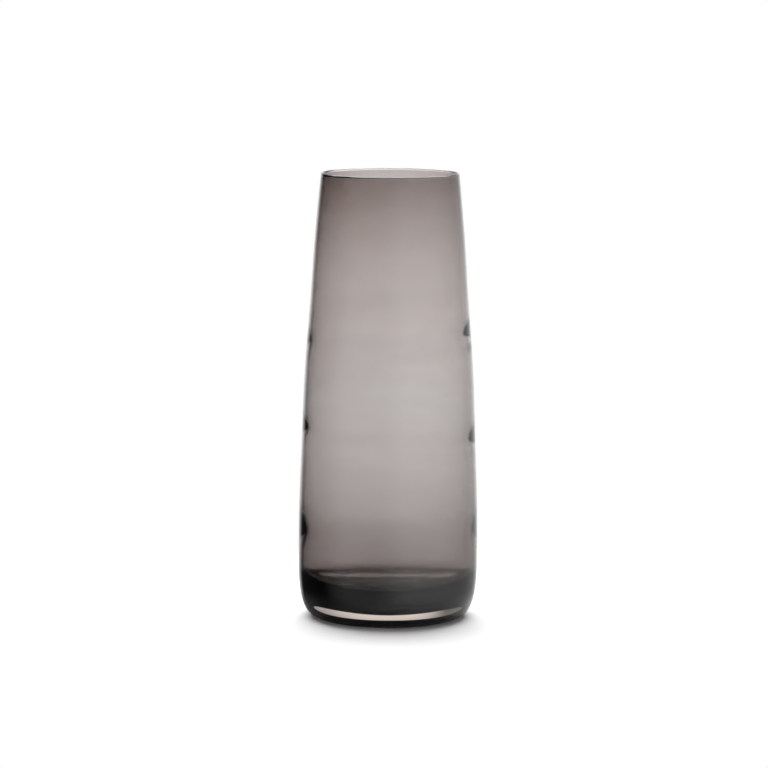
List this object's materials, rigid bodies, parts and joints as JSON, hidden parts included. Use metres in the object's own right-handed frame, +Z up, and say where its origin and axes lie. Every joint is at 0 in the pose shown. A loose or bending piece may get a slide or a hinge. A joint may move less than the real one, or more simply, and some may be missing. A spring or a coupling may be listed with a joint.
{
  "type": "glass cylinder vase",
  "caption": "Tall tapered glass vase with a narrow round mouth, a smoke-grey lined wall, a rounded heel and a thick clear foot; holds cut stems in water.",
  "frame": {"origin": "centre of the round foot, on the surface that the vase stands on", "axes": "+Z up along the vase's axis of revolution; +X to the right and +Y away from a viewer in front"},
  "size_m": [0.121, 0.121, 0.3],
  "materials": {
    "clear_glass": "clear blown glass, fire-polished, smooth and glossy",
    "smoke_glass": "transparent smoke-grey glass with a faint warm tint, smooth and glossy"
  },
  "bodies": {
    "root": {"clear_casing": "clear_glass", "smoke_lining": "smoke_glass"}
  },
  "joints": []
}
